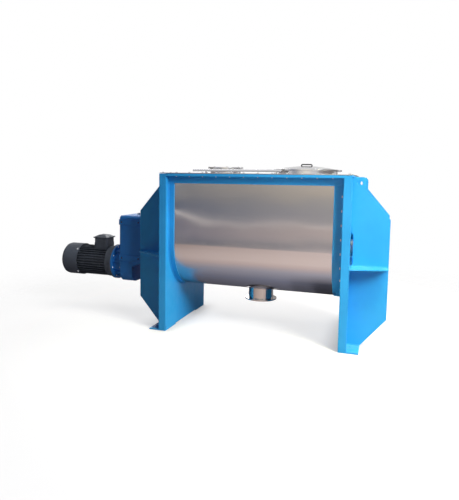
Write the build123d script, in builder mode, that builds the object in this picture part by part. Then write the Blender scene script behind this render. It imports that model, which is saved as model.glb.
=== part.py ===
from build123d import *
import os
from math import cos, radians, sin

# Ribbon blender. X runs along the shaft with the drive end at -X, the front is -Y, the floor is z = 0.
# The origin lies on the floor under the middle of the trough. Millimetres.

# Fits between pieces
FIT = 0.3            # clearance between pieces that are set together
RUN = 0.05           # radial clearance of a running fit

# Trough
TROUGH_LENGTH = 1715
TROUGH_RADIUS = 474  # inside of the round bottom
SHELL = 6
SHAFT_Z = 890        # shaft axis above the floor
TROUGH_SIDE = 710    # straight sides, from the shaft axis up to the top

# End frames
PLATE = 10           # end panel plate
FLANGE = 75          # folded edge of the end panel
RAIL_REACH = 77      # from the trough side out to the front of the frame
GUSSET = 12          # gusset, rib and shelf plate
GUSSET_SETBACK = 232
GUSSET_REACH = 333   # beyond the folded edge
GUSSET_LOW = 280     # height where the lower slope ends
GUSSET_DROP = 395    # from the frame's top down to where the upper slope starts
LUG_REACH = 108
LUG_DROP = 127       # from the frame's top down to where the upper slope ends
LUG_CORNER = 18
LUG_HOLE_REACH = 53
LUG_HOLE_DROP = 67
LUG_HOLE_R = 22.5
NOTCH_HEIGHT = 325
NOTCH_REACH = 12     # beyond the folded edge
RIB_TIP = {"drive": 25, "idle": 115}  # rib depth at its outer end
FOOT = 12            # foot plate
FOOT_REACH = 105     # beyond the folded edge
FOOT_LAP = 18        # behind the gusset
FOOT_HOLE_REACH = 22.5
FOOT_HOLE_INSET = 158
FOOT_HOLE_R = 11

# Trough rings and top rails
RING = 10
RING_WIDTH = {"drive": 58, "idle": 86}
RING_BOLTED = "idle"  # end whose ring has a leg bolted to the end panel; the other ring is welded
RING_LEG = 32        # radial height of the leg
RING_LEG_T = 8
RING_PITCH = 130     # bolts on the straight sides
RING_ARC_STEPS = 12  # bolt spaces round the half circle
RAIL = 10
RAIL_LEG = 95        # height of the leg on the trough side
RAIL_LIP = 25        # height of the front lip

# Cover
GASKET = 3
GASKET_WIDTH = 28
COVER = 6
COVER_INSET = 2      # cover edge behind the frame's faces
BOLT_R = 6
BOLT_PITCH = 138
BOLT_COUNT = 12      # along each side, between the end panels
BOLT_INSET = 30      # bolt line behind the frame's faces
GUSSET_BOLT_CLEAR = 26  # bolts over the end panels, outside the gussets

# Manhole
MANHOLE_X = 445
MANHOLE_R = 300      # clear opening
COLLAR = 6
COLLAR_HEIGHT = 43
LID_OVERHANG = 42    # lid rim beyond the collar
LID = 4
LID_LIP = 12
LID_RISE = 33
HANDLE_WIDTH = 117
HANDLE_BAR = 12
HANDLE_HEIGHT = 26
HINGE_SETBACK = 40   # pin behind the lid's rim
HINGE_SPAN = 130     # outside the bracket lugs
HINGE_LUG = 14
HINGE_PIN_R = 7
HINGE_EYE_R = 15
HINGE_HEAD = 5

# Feed port
PORT_X = -420
PORT_R = 162.5       # outside of the neck
PORT_WALL = 5
PORT_NECK = 37
PORT_FLANGE_R = 190
PORT_FLANGE = 14
PORT_BOLTS = 8
PORT_BOLT_R = 5
PORT_BOLT_CIRCLE = 176.5

# Spray pipe
SPRAY_Y = -300
SPRAY_ENDS = (-672, 246)
SPRAY_NOZZLES = (-530, 190)
SPRAY_R = 13
SPRAY_WALL = 2
SPRAY_RISE = 31      # pipe axis above the cover
SPRAY_BOSS = 11      # height of the nozzle body on the cover
NOZZLE_R = 9
NOZZLE_DEPTH = 34    # below the cover's top

# Discharge
DISCHARGE_R = 130    # outside of the neck
DISCHARGE_WALL = 6
DISCHARGE_DROP = 113  # from the trough's lowest line to the flange face
DISCHARGE_FLANGE_R = 166
DISCHARGE_FLANGE = 12
DISCHARGE_PCD = 300
DISCHARGE_HOLES = 8
DISCHARGE_HOLE_R = 7

# Agitator
JOURNAL_R = 50
SHAFT_R = 70         # between the end panels
SHAFT_GAP = 12       # thick part to the end panels
RIBBON_CLEAR = 8     # outer ribbons to the trough
RIBBON_WIDTH = 60
RIBBON = 10
INNER_RIBBON_R = 290
INNER_RIBBON_WIDTH = 60
RIBBON_START = 20    # from the trough's middle
RIBBON_GAP = 22      # to the end panels
SPOKE = 30           # square bar
SPOKE_STATIONS = 3   # per half, a quarter turn of ribbon apart

# Shaft seals and bearings
SEAL_FLANGE_R = 115
SEAL_FLANGE = 14
SEAL_R = 85
SEAL_LENGTH = 92
SEAL_BOTTOM = 8
PACKING = 16
PACKING_LENGTH = 55
GLAND = 15
GLAND_TRAVEL = 15    # left between gland and stuffing box
STUD_R = 6
NUT = 10
BEARING_OFFSET = 232  # bearing middle from the end panel's outer face
BEARING_HEIGHT = 122  # shaft axis above the shelf
BEARING_WIDTH = 90
BEARING_R = 70       # bore of the housing
BEARING_WALL = 28
BEARING_BASE = 300
BEARING_BASE_T = 32
BEARING_BOLT_Y = 122
BEARING_BOLT_R = 10
SHAFT_TAIL = 30      # shaft beyond the idle bearing

# Gearbox
MOUNT_PLATE = 20
SHELF_CLEAR = 40     # shelf end to the mount plate
MOUNT_PLATE_RISE = 250
MOUNT_PLATE_DROP = 250
GEARBOX_GAP = 58
GEARBOX_LENGTH = 270
GEARBOX_DEPTH = 400
GEARBOX_RISE = 240   # above the output axis
CENTRE_DISTANCE = 315
GEARBOX_DROP = 190   # below the motor axis
GEARBOX_FOOT = 158   # lower half, that carries the motor
GEARBOX_STEP = 175   # height of the output half above the bottom
GEARBOX_SLOPE = 45   # rise of its underside
GEARBOX_ROUND = 100  # round of the lower end
GEARBOX_SHOULDER = 36  # round of the upper end
GEARBOX_BEVEL = 8
GEARBOX_PAD = 10
GEARBOX_PAD_HEIGHT = 60
GEARBOX_PADS = (168, -235)  # pad middles from the output axis
GEARBOX_PAD_HOLE_R = 9
OUTPUT_NECK_R = 140
OUTPUT_FLANGE_R = 190
OUTPUT_FLANGE = 18
OUTPUT_BOLTS = 8
OUTPUT_BOLT_R = 8
OUTPUT_BOLT_CIRCLE = 166
SLEEVE_R = 68
SLEEVE_WALL_END = 14  # housing left behind the sleeve
BREATHER_R = 16

# Motor
ADAPTER_LENGTH = 126
ADAPTER_R = 150
ADAPTER_WALL = 14
ADAPTER_FLANGE_R = 197
ADAPTER_FLANGE = 20
ADAPTER_RIBS = 8
ADAPTER_RIB_TURN = 7.5  # degrees above the level
SHIELD_LENGTH = 90
SHIELD_R = 178
MOTOR_LENGTH = 392
MOTOR_CORE_R = 148
MOTOR_WALL = 14
FIN_R = 172
FIN = 5
FIN_COUNT = 36
REAR_WALL = 12
COWL_LENGTH = 193
COWL_R = 185
COWL = 3
COWL_LAP = 25        # cowl over the fins
COWL_ROUND = 42
COWL_SLOTS = 12
ROTOR_SHAFT_R = 24
ROTOR_R = 84
ROTOR_LENGTH = 240
AIR_GAP = 1
FAN_R = 150
FAN_LENGTH = 70
FAN_BLADES = 8
COUPLING_R = 62
INPUT_SEAT = 40      # input shaft inside the gearbox
BOX_LENGTH = 158
BOX_DEPTH = 170
BOX_HEIGHT = 56
BOX_WALL = 5
BOX_INSET = 25       # box behind the end shield
BOX_PAD = 66         # pedestal on the motor frame, above its core
BOX_LID = 12         # edge of the lid
BOX_LID_RISE = 24    # hipped middle of the lid
BOX_LID_SLOPE = 62
BOX_LID_LAP = 12
CABLE_GLAND_R = 16
CABLE_GLAND = 30

# Places worked out from the sizes above
FRAME_HEIGHT = SHAFT_Z + TROUGH_SIDE
SHELL_R = TROUGH_RADIUS + SHELL
RIBBON_R = TROUGH_RADIUS - RIBBON_CLEAR
HALF_DEPTH = SHELL_R + RAIL_REACH
PANEL_X = TROUGH_LENGTH / 2
WEB_X = PANEL_X + PLATE
EDGE_X = PANEL_X + FLANGE
GUSSET_X = EDGE_X + GUSSET_REACH
GUSSET_Y = HALF_DEPTH - GUSSET_SETBACK
GUSSET_BACK = GUSSET_Y - GUSSET
SHELF_Z = SHAFT_Z - BEARING_HEIGHT
SHELF_X = GUSSET_X - MOUNT_PLATE - SHELF_CLEAR
BEARING_X = WEB_X + BEARING_OFFSET
SEAT_Z = FRAME_HEIGHT + GASKET
COVER_Z = SEAT_Z + COVER
RING_R = SHELL_R + FIT + RING
RIBBON_LENGTH = PANEL_X - RIBBON_GAP - RIBBON_START
STATION_PITCH = RIBBON_LENGTH / SPOKE_STATIONS
MOTOR_Z = SHAFT_Z - CENTRE_DISTANCE
GEARBOX_X = -(GUSSET_X + GEARBOX_GAP)
ADAPTER_X = GEARBOX_X - GEARBOX_LENGTH
SHIELD_X = ADAPTER_X - ADAPTER_LENGTH
MOTOR_X = SHIELD_X - SHIELD_LENGTH
COWL_X = MOTOR_X - MOTOR_LENGTH
COWL_END = COWL_X - COWL_LENGTH
SHAFT_AXIS = Axis((0, 0, SHAFT_Z), (1, 0, 0))
MOTOR_AXIS = Axis((0, 0, MOTOR_Z), (1, 0, 0))
ENDS = (("drive", -1), ("idle", 1))
BOTTOM = (Align.CENTER, Align.MIN)


def save(piece, name):
    """Label a finished piece and write its file."""
    piece.part.label = name
    export_step(piece.part, f"parts/{name}.step")


def facing(x, side):
    """Upright plane at x that looks along +X (side 1) or -X (side -1), Z up."""
    return Plane(origin=(x, 0, 0), x_dir=(0, side, 0), z_dir=(side, 0, 0))


def turn(axis, *outline):
    """Turn an outline of (x, radius) points about an axis along X."""
    with BuildSketch(Plane(origin=axis.position, x_dir=(1, 0, 0), z_dir=(0, -1, 0))) as profile:
        with BuildLine():
            Polyline(*outline, close=True)
        make_face()
    revolve(profile.sketch, axis=axis)


def u_shape(radius, top, mode=Mode.ADD):
    """U-shaped face about the shaft axis, in a sketch that looks along X."""
    with BuildLine() as outline:
        Polyline((radius, SHAFT_Z), (radius, top), (-radius, top), (-radius, SHAFT_Z))
        ThreePointArc((-radius, SHAFT_Z), (0, SHAFT_Z - radius), (radius, SHAFT_Z))
    make_face(outline.edges(), mode=mode)


def bolt_set(plane, places, grip, radius, tip):
    """Hexagon bolts without the shank hidden in the plates: heads on the plane, nuts below the grip."""
    with BuildPart() as bolts:
        with BuildSketch(plane):
            with Locations(*places):
                RegularPolygon(1.8 * radius, 6)
        extrude(amount=1.3 * radius)
        with BuildSketch(plane.offset(-grip)):
            with Locations(*places):
                RegularPolygon(1.8 * radius, 6)
        extrude(amount=-1.6 * radius)
        with BuildSketch(plane.offset(-grip - 1.6 * radius)):
            with Locations(*places):
                RegularPolygon(radius, 6)
        extrude(amount=-tip)
    return bolts


def circle_places(radius, count, centre=(0, 0), start=0):
    """Evenly spaced places on a circle."""
    steps = [radians(start + 360 / count * i) for i in range(count)]
    return [(centre[0] + radius * cos(a), centre[1] + radius * sin(a)) for a in steps]


os.makedirs("parts", exist_ok=True)

# Places of the cover bolts: along both sides, at the corners and over the end panels
bolt_x = EDGE_X - BOLT_INSET
bolt_y = HALF_DEPTH - BOLT_INSET
side_xs = [BOLT_PITCH * (i - (BOLT_COUNT - 1) / 2) for i in range(BOLT_COUNT)]
side_bolts = [(x, y) for x in side_xs for y in (-bolt_y, bolt_y)]
gusset_bolt_y = GUSSET_Y + GUSSET_BOLT_CLEAR
end_ys = [0] + [s * y for s in (-1, 1) for y in (gusset_bolt_y / 2, gusset_bolt_y, bolt_y)]
end_bolts = [(x, y) for x in (-bolt_x, bolt_x) for y in end_ys]

# Places of the ring bolts, as seen along the shaft: round the curve and up both sides
ring_bolt_r = RING_R + RING_LEG / 2
arc_angles = [radians(180 + 180 / RING_ARC_STEPS * i) for i in range(RING_ARC_STEPS + 1)]
ring_places = [(ring_bolt_r * cos(a), SHAFT_Z + ring_bolt_r * sin(a)) for a in arc_angles]
ring_top = FRAME_HEIGHT - RAIL_LEG
ring_rows = int((ring_top - SHAFT_Z - BOLT_R * 2) // RING_PITCH)
for row in range(1, ring_rows + 1):
    ring_places += [(y, SHAFT_Z + row * RING_PITCH) for y in (-ring_bolt_r, ring_bolt_r)]

# End frames
for end, side in ENDS:
    with BuildPart() as panel:
        with BuildSketch(facing(side * PANEL_X, side)):
            with Locations((0, FOOT)):
                Rectangle(2 * HALF_DEPTH, FRAME_HEIGHT - FOOT, align=BOTTOM)
            with Locations((0, SHAFT_Z)):
                Circle(JOURNAL_R + FIT, mode=Mode.SUBTRACT)
        extrude(amount=PLATE)
        with BuildSketch(facing(side * PANEL_X, side)):
            with Locations((0, FOOT)):
                Rectangle(2 * HALF_DEPTH, FRAME_HEIGHT - FOOT, align=BOTTOM)
                inside = (2 * (HALF_DEPTH - PLATE), FRAME_HEIGHT - FOOT - PLATE)
                Rectangle(*inside, align=BOTTOM, mode=Mode.SUBTRACT)
        extrude(amount=FLANGE)
    save(panel, f"{end}_end_panel")

    with BuildPart() as gussets:
        with BuildSketch(Plane.XZ.offset(GUSSET_BACK)):
            with BuildLine():
                Polyline(
                    (side * WEB_X, FOOT),
                    (side * (EDGE_X + FOOT_REACH), FOOT),
                    (side * GUSSET_X, GUSSET_LOW),
                    (side * GUSSET_X, FRAME_HEIGHT - GUSSET_DROP),
                    (side * (EDGE_X + LUG_REACH), FRAME_HEIGHT - LUG_DROP),
                    (side * (EDGE_X + LUG_REACH), FRAME_HEIGHT - PLATE - 1.6 * LUG_CORNER),
                    (side * (EDGE_X + LUG_REACH - LUG_CORNER), FRAME_HEIGHT - PLATE),
                    (side * WEB_X, FRAME_HEIGHT - PLATE),
                    close=True,
                )
            make_face()
            with BuildLine():
                notch = EDGE_X + NOTCH_REACH - WEB_X
                Polyline(
                    (side * WEB_X, SHELF_Z),
                    (side * (WEB_X + notch), SHELF_Z),
                    (side * (WEB_X + notch), SHELF_Z + NOTCH_HEIGHT - notch / 2),
                    (side * (WEB_X + notch / 2), SHELF_Z + NOTCH_HEIGHT),
                    (side * WEB_X, SHELF_Z + NOTCH_HEIGHT),
                    close=True,
                )
            make_face(mode=Mode.SUBTRACT)
            with Locations((side * (EDGE_X + LUG_HOLE_REACH), FRAME_HEIGHT - LUG_HOLE_DROP)):
                Circle(LUG_HOLE_R, mode=Mode.SUBTRACT)
        extrude(amount=GUSSET)
        mirror(about=Plane.XZ)
    save(gussets, f"{end}_gussets")

    with BuildPart() as shelf:
        with BuildSketch(Plane.XY.offset(SHELF_Z)):
            with Locations((side * (WEB_X + SHELF_X) / 2, 0)):
                Rectangle(SHELF_X - WEB_X, 2 * GUSSET_BACK)
        extrude(amount=-GUSSET)
    save(shelf, f"{end}_bearing_shelf")

with BuildPart() as gusset_ribs:
    for end, side in ENDS:
        with BuildSketch(Plane.XY.offset(SHELF_Z)):
            with BuildLine():
                Polyline(
                    (side * WEB_X, -GUSSET_Y),
                    (side * WEB_X, PLATE - HALF_DEPTH),
                    (side * EDGE_X, PLATE - HALF_DEPTH),
                    (side * EDGE_X, -HALF_DEPTH),
                    (side * GUSSET_X, -GUSSET_Y - RIB_TIP[end]),
                    (side * GUSSET_X, -GUSSET_Y),
                    close=True,
                )
            make_face()
        extrude(amount=-GUSSET)
    mirror(about=Plane.XZ)
save(gusset_ribs, "gusset_ribs")

with BuildPart() as feet:
    with BuildSketch(Plane.XY):
        with Locations((PANEL_X, -HALF_DEPTH)):
            Rectangle(FLANGE + FOOT_REACH, GUSSET_SETBACK + GUSSET + FOOT_LAP, align=(Align.MIN, Align.MIN))
        with Locations((EDGE_X + FOOT_HOLE_REACH, FOOT_HOLE_INSET - HALF_DEPTH)):
            Circle(FOOT_HOLE_R, mode=Mode.SUBTRACT)
    extrude(amount=FOOT)
    mirror(about=Plane.XZ)
    mirror(about=Plane.YZ)
save(feet, "feet")

# Trough with its end rings and top rails
with BuildPart() as trough_shell:
    with BuildSketch(facing(-PANEL_X, 1)):
        u_shape(SHELL_R, FRAME_HEIGHT)
        u_shape(TROUGH_RADIUS, FRAME_HEIGHT, mode=Mode.SUBTRACT)
    extrude(amount=TROUGH_LENGTH)
    with BuildSketch(Plane.XY.offset(SHAFT_Z)):
        Circle(DISCHARGE_R - DISCHARGE_WALL)
    extrude(amount=-SHELL_R, mode=Mode.SUBTRACT)
save(trough_shell, "trough_shell")

for end, side in ENDS:
    with BuildPart() as ring:
        with BuildSketch(facing(side * PANEL_X, -side)):
            u_shape(RING_R, ring_top)
            u_shape(SHELL_R + FIT, ring_top, mode=Mode.SUBTRACT)
        extrude(amount=RING_WIDTH[end])
        if end == RING_BOLTED:
            with BuildSketch(facing(side * PANEL_X, -side)):
                u_shape(RING_R + RING_LEG, ring_top)
                u_shape(SHELL_R + FIT, ring_top, mode=Mode.SUBTRACT)
            extrude(amount=RING_LEG_T)
    save(ring, f"{end}_end_ring")

with BuildPart() as ring_bolts:
    side = dict(ENDS)[RING_BOLTED]
    with BuildSketch(facing(side * (PANEL_X - RING_LEG_T), -side)):
        with Locations(*ring_places):
            RegularPolygon(1.8 * BOLT_R, 6)
    extrude(amount=1.3 * BOLT_R)
save(ring_bolts, "ring_bolts")

with BuildPart() as top_rails:
    with BuildSketch(facing(-PANEL_X, 1)):
        with BuildLine():
            Polyline(
                (-SHELL_R, FRAME_HEIGHT),
                (-SHELL_R, FRAME_HEIGHT - RAIL_LEG),
                (-SHELL_R - RAIL, FRAME_HEIGHT - RAIL_LEG),
                (-SHELL_R - RAIL, FRAME_HEIGHT - RAIL),
                (RAIL - HALF_DEPTH, FRAME_HEIGHT - RAIL),
                (RAIL - HALF_DEPTH, FRAME_HEIGHT - RAIL_LIP),
                (-HALF_DEPTH, FRAME_HEIGHT - RAIL_LIP),
                (-HALF_DEPTH, FRAME_HEIGHT),
                close=True,
            )
        make_face()
    extrude(amount=TROUGH_LENGTH)
    mirror(about=Plane.XZ)
save(top_rails, "top_rails")

with BuildPart() as discharge_nozzle:
    flange_z = SHAFT_Z - SHELL_R - DISCHARGE_DROP
    with BuildSketch(Plane.XY.offset(flange_z)):
        Circle(DISCHARGE_R)
    extrude(amount=SHAFT_Z - flange_z)
    with BuildSketch(facing(-2 * DISCHARGE_R, 1)):
        with Locations((0, SHAFT_Z)):
            Circle(SHELL_R + FIT)
    extrude(amount=4 * DISCHARGE_R, mode=Mode.SUBTRACT)
    with BuildSketch(Plane.XY.offset(flange_z)):
        Circle(DISCHARGE_FLANGE_R)
        with PolarLocations(DISCHARGE_PCD / 2, DISCHARGE_HOLES, start_angle=180 / DISCHARGE_HOLES):
            Circle(DISCHARGE_HOLE_R, mode=Mode.SUBTRACT)
    extrude(amount=DISCHARGE_FLANGE)
    with BuildSketch(Plane.XY.offset(flange_z)):
        Circle(DISCHARGE_R - DISCHARGE_WALL)
    extrude(amount=SHAFT_Z - flange_z, mode=Mode.SUBTRACT)
save(discharge_nozzle, "discharge_nozzle")

# Cover with its gasket and bolts
with BuildPart() as cover_gasket:
    with BuildSketch(Plane.XY.offset(FRAME_HEIGHT)):
        Rectangle(TROUGH_LENGTH + 2 * GASKET_WIDTH, 2 * (TROUGH_RADIUS + GASKET_WIDTH))
        Rectangle(TROUGH_LENGTH, 2 * TROUGH_RADIUS, mode=Mode.SUBTRACT)
    extrude(amount=GASKET)
save(cover_gasket, "cover_gasket")

with BuildPart() as cover_plate:
    with BuildSketch(Plane.XY.offset(SEAT_Z)):
        Rectangle(2 * (EDGE_X - COVER_INSET), 2 * (HALF_DEPTH - COVER_INSET))
        with Locations((MANHOLE_X, 0)):
            Circle(MANHOLE_R, mode=Mode.SUBTRACT)
        with Locations((PORT_X, 0)):
            Circle(PORT_R - PORT_WALL, mode=Mode.SUBTRACT)
        with Locations(*[(x, SPRAY_Y) for x in SPRAY_NOZZLES]):
            Circle(NOZZLE_R + FIT, mode=Mode.SUBTRACT)
    extrude(amount=COVER)
save(cover_plate, "cover_plate")

cover_bolts = bolt_set(
    Plane.XY.offset(COVER_Z), side_bolts + end_bolts, COVER + GASKET + RAIL, BOLT_R, tip=2 * BOLT_R
)
save(cover_bolts, "cover_bolts")

# Manhole with its hinged lid
collar_r = MANHOLE_R + COLLAR
rim_r = collar_r + LID_OVERHANG
collar_top = COVER_Z + COLLAR_HEIGHT
lid_z = collar_top + GASKET
dome = [(0.7 * MANHOLE_R, 0.6 * LID_RISE), (0.3 * MANHOLE_R, LID_RISE)]
dome_top = lid_z + LID + LID_RISE
hinge_y = rim_r + HINGE_SETBACK
hinge_z = lid_z + LID / 2
knuckle = HINGE_SPAN / 2 - HINGE_LUG - FIT

with BuildPart() as manhole_collar:
    with BuildSketch(Plane.XY.offset(COVER_Z)):
        with Locations((MANHOLE_X, 0)):
            Circle(collar_r)
            Circle(MANHOLE_R, mode=Mode.SUBTRACT)
    extrude(amount=COLLAR_HEIGHT)
save(manhole_collar, "manhole_collar")

with BuildPart() as lid_gasket:
    with BuildSketch(Plane.XY.offset(collar_top)):
        with Locations((MANHOLE_X, 0)):
            Circle(collar_r + GASKET)
            Circle(MANHOLE_R, mode=Mode.SUBTRACT)
    extrude(amount=GASKET)
save(lid_gasket, "lid_gasket")

with BuildPart() as manhole_lid:
    with BuildSketch(Plane(origin=(MANHOLE_X, 0, lid_z), x_dir=(1, 0, 0), z_dir=(0, -1, 0))):
        with BuildLine():
            Polyline(
                (MANHOLE_R, 0),
                (rim_r - LID, 0),
                (rim_r - LID, -LID_LIP),
                (rim_r, -LID_LIP),
                (rim_r, LID),
                (MANHOLE_R, LID),
            )
            Polyline((MANHOLE_R, LID), *[(r, LID + h) for r, h in dome], (0, LID + LID_RISE))
            Line((0, LID + LID_RISE), (0, LID_RISE))
            Polyline((0, LID_RISE), *dome[::-1], (MANHOLE_R, 0))
        make_face()
    revolve(axis=Axis((MANHOLE_X, 0, 0), (0, 0, 1)))
    with BuildSketch(facing(MANHOLE_X - knuckle, 1)):
        with Locations((hinge_y, hinge_z)):
            Circle(HINGE_EYE_R)
        with Locations(((collar_r + hinge_y) / 2, lid_z)):
            Rectangle(hinge_y - collar_r, LID, align=BOTTOM)
        with Locations((hinge_y, hinge_z)):
            Circle(HINGE_PIN_R + RUN, mode=Mode.SUBTRACT)
    extrude(amount=2 * knuckle)
save(manhole_lid, "manhole_lid")

with BuildPart() as lid_handle:
    foot_r = HANDLE_WIDTH / 2 - HANDLE_BAR
    with BuildSketch(Plane(origin=(MANHOLE_X, 0, dome_top), x_dir=(1, 0, 0), z_dir=(0, -1, 0))):
        Rectangle(HANDLE_WIDTH, HANDLE_HEIGHT, align=BOTTOM)
        fillet(vertices().group_by(Axis.Y)[-1], 1.5 * HANDLE_BAR)
        Rectangle(2 * foot_r, HANDLE_HEIGHT - HANDLE_BAR, align=BOTTOM, mode=Mode.SUBTRACT)
    extrude(amount=HANDLE_BAR / 2, both=True)
save(lid_handle, "lid_handle")

with BuildPart() as hinge_bracket:
    with BuildSketch(facing(MANHOLE_X - HINGE_SPAN / 2, 1)):
        with Locations((hinge_y, hinge_z)):
            Circle(HINGE_EYE_R)
        with Locations((hinge_y, COVER_Z)):
            Rectangle(2 * HINGE_EYE_R, hinge_z - COVER_Z, align=BOTTOM)
        with Locations((hinge_y, hinge_z)):
            Circle(HINGE_PIN_R + RUN, mode=Mode.SUBTRACT)
    extrude(amount=HINGE_LUG)
    mirror(about=Plane.YZ.offset(MANHOLE_X))
    with BuildSketch(Plane.XY.offset(COVER_Z)):
        with Locations((MANHOLE_X, hinge_y)):
            Rectangle(HINGE_SPAN, 2 * HINGE_EYE_R)
    extrude(amount=COVER)
save(hinge_bracket, "hinge_bracket")

hinge_axis = Axis((0, hinge_y, hinge_z), (1, 0, 0))
pin_head = HINGE_SPAN / 2 + FIT
with BuildPart() as hinge_pin:
    turn(
        hinge_axis,
        (MANHOLE_X - pin_head - HINGE_HEAD, 0),
        (MANHOLE_X - pin_head - HINGE_HEAD, 1.5 * HINGE_PIN_R),
        (MANHOLE_X - pin_head, 1.5 * HINGE_PIN_R),
        (MANHOLE_X - pin_head, HINGE_PIN_R),
        (MANHOLE_X + pin_head, HINGE_PIN_R),
        (MANHOLE_X + pin_head, 1.5 * HINGE_PIN_R),
        (MANHOLE_X + pin_head + HINGE_HEAD, 1.5 * HINGE_PIN_R),
        (MANHOLE_X + pin_head + HINGE_HEAD, 0),
    )
save(hinge_pin, "hinge_pin")

# Feed port, closed by a bolted blind
port_top = COVER_Z + PORT_NECK + PORT_FLANGE
port_places = circle_places(PORT_BOLT_CIRCLE, PORT_BOLTS, (PORT_X, 0), 180 / PORT_BOLTS)

with BuildPart() as feed_port_neck:
    with BuildSketch(Plane.XY.offset(COVER_Z)):
        with Locations((PORT_X, 0)):
            Circle(PORT_R)
            Circle(PORT_R - PORT_WALL, mode=Mode.SUBTRACT)
    extrude(amount=PORT_NECK)
    with BuildSketch(Plane.XY.offset(COVER_Z + PORT_NECK)):
        with Locations((PORT_X, 0)):
            Circle(PORT_FLANGE_R)
            Circle(PORT_R - PORT_WALL, mode=Mode.SUBTRACT)
    extrude(amount=PORT_FLANGE)
save(feed_port_neck, "feed_port_neck")

with BuildPart() as feed_port_gasket:
    with BuildSketch(Plane.XY.offset(port_top)):
        with Locations((PORT_X, 0)):
            Circle(PORT_BOLT_CIRCLE - 2 * PORT_BOLT_R)
            Circle(PORT_R - PORT_WALL, mode=Mode.SUBTRACT)
    extrude(amount=GASKET)
save(feed_port_gasket, "feed_port_gasket")

with BuildPart() as feed_port_blind:
    with BuildSketch(Plane.XY.offset(port_top + GASKET)):
        with Locations((PORT_X, 0)):
            Circle(PORT_FLANGE_R)
    extrude(amount=PORT_FLANGE)
save(feed_port_blind, "feed_port_blind")

port_stack = 2 * PORT_FLANGE + GASKET
feed_port_bolts = bolt_set(
    Plane.XY.offset(port_top + GASKET + PORT_FLANGE), port_places, port_stack, PORT_BOLT_R, tip=PORT_BOLT_R
)
save(feed_port_bolts, "feed_port_bolts")

# Spray pipe on its nozzles
spray_z = COVER_Z + SPRAY_RISE
spray_places = [(x, SPRAY_Y) for x in SPRAY_NOZZLES]

with BuildPart() as spray_pipe:
    pipe_length = SPRAY_ENDS[1] - SPRAY_ENDS[0]
    pipe_end = Plane(origin=(SPRAY_ENDS[0], SPRAY_Y, spray_z), x_dir=(0, 1, 0), z_dir=(1, 0, 0))
    with BuildSketch(pipe_end):
        Circle(SPRAY_R)
    extrude(amount=pipe_length)
    with BuildSketch(Plane.XY.offset(COVER_Z + SPRAY_BOSS)):
        with Locations(*spray_places):
            Circle(NOZZLE_R)
    extrude(amount=SPRAY_RISE - SPRAY_BOSS)
    with BuildSketch(pipe_end.offset(SPRAY_R)):
        Circle(SPRAY_R - SPRAY_WALL)
    extrude(amount=pipe_length, mode=Mode.SUBTRACT)
save(spray_pipe, "spray_pipe")

with BuildPart() as spray_nozzles:
    with BuildSketch(Plane.XY.offset(COVER_Z)):
        with Locations(*spray_places):
            RegularPolygon(1.8 * NOZZLE_R, 6)
    extrude(amount=SPRAY_BOSS)
    with BuildSketch(Plane.XY.offset(COVER_Z)):
        with Locations(*spray_places):
            Circle(NOZZLE_R)
    extrude(amount=-NOZZLE_DEPTH)
    chamfer(edges().group_by(Axis.Z)[0], NOZZLE_R / 2)
save(spray_nozzles, "spray_nozzles")

# Agitator: shaft, spokes and the opposed ribbons
gearbox_back = ADAPTER_X + SLEEVE_WALL_END
thick_x = PANEL_X - SHAFT_GAP
with BuildPart() as main_shaft:
    turn(
        SHAFT_AXIS,
        (gearbox_back + FIT, 0),
        (gearbox_back + FIT, JOURNAL_R),
        (-thick_x, JOURNAL_R),
        (-thick_x, SHAFT_R),
        (thick_x, SHAFT_R),
        (thick_x, JOURNAL_R),
        (BEARING_X + BEARING_WIDTH / 2 + SHAFT_TAIL, JOURNAL_R),
        (BEARING_X + BEARING_WIDTH / 2 + SHAFT_TAIL, 0),
    )
save(main_shaft, "main_shaft")


def ribbons(radius, width, lefthand):
    """Two-start ribbon on each half of the shaft, the halves mirrored about the middle."""
    turn = SPOKE_STATIONS / 4
    with BuildPart() as piece:
        with BuildLine() as path:
            Helix(
                pitch=RIBBON_LENGTH / turn,
                height=RIBBON_LENGTH,
                radius=radius - width / 2,
                center=(RIBBON_START, 0, SHAFT_Z),
                direction=(1, 0, 0),
                lefthand=lefthand,
            )
        start = path.line @ 0
        outward = start - Vector(RIBBON_START, 0, SHAFT_Z)
        with BuildSketch(Plane(origin=start, x_dir=outward, z_dir=path.line % 0)):
            Rectangle(width, RIBBON)
        sweep(path=path.line, is_frenet=True)
        add(piece.part.rotate(SHAFT_AXIS, 180))
        mirror(about=Plane.YZ)
    return piece


outer_ribbons = ribbons(RIBBON_R, RIBBON_WIDTH, lefthand=False)
save(outer_ribbons, "outer_ribbons")
inner_ribbons = ribbons(INNER_RIBBON_R, INNER_RIBBON_WIDTH, lefthand=True)
save(inner_ribbons, "inner_ribbons")

with BuildPart() as spokes:
    for station in range(SPOKE_STATIONS):
        x = RIBBON_START + (station + 0.5) * STATION_PITCH
        for hand, length in ((1, RIBBON_R - RIBBON_WIDTH), (-1, INNER_RIBBON_R - INNER_RIBBON_WIDTH)):
            angle = hand * 90 * (station + 0.5)
            out = (0, -sin(radians(angle)), cos(radians(angle)))
            with BuildSketch(Plane(origin=(x, 0, SHAFT_Z), x_dir=(1, 0, 0), z_dir=out)):
                Rectangle(SPOKE, SPOKE)
            extrude(amount=length - 2 * FIT, both=True)
    with BuildSketch(facing(0, 1)):
        with Locations((0, SHAFT_Z)):
            Circle(SHAFT_R + RUN)
    extrude(amount=PANEL_X, mode=Mode.SUBTRACT)
    mirror(about=Plane.YZ)
save(spokes, "spokes")

# Shaft seals and bearings
packing_r = JOURNAL_R + PACKING
seal_x = WEB_X + SEAL_LENGTH
gland_x = seal_x + GLAND_TRAVEL
stud_circle = (packing_r + SEAL_R) / 2

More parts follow.
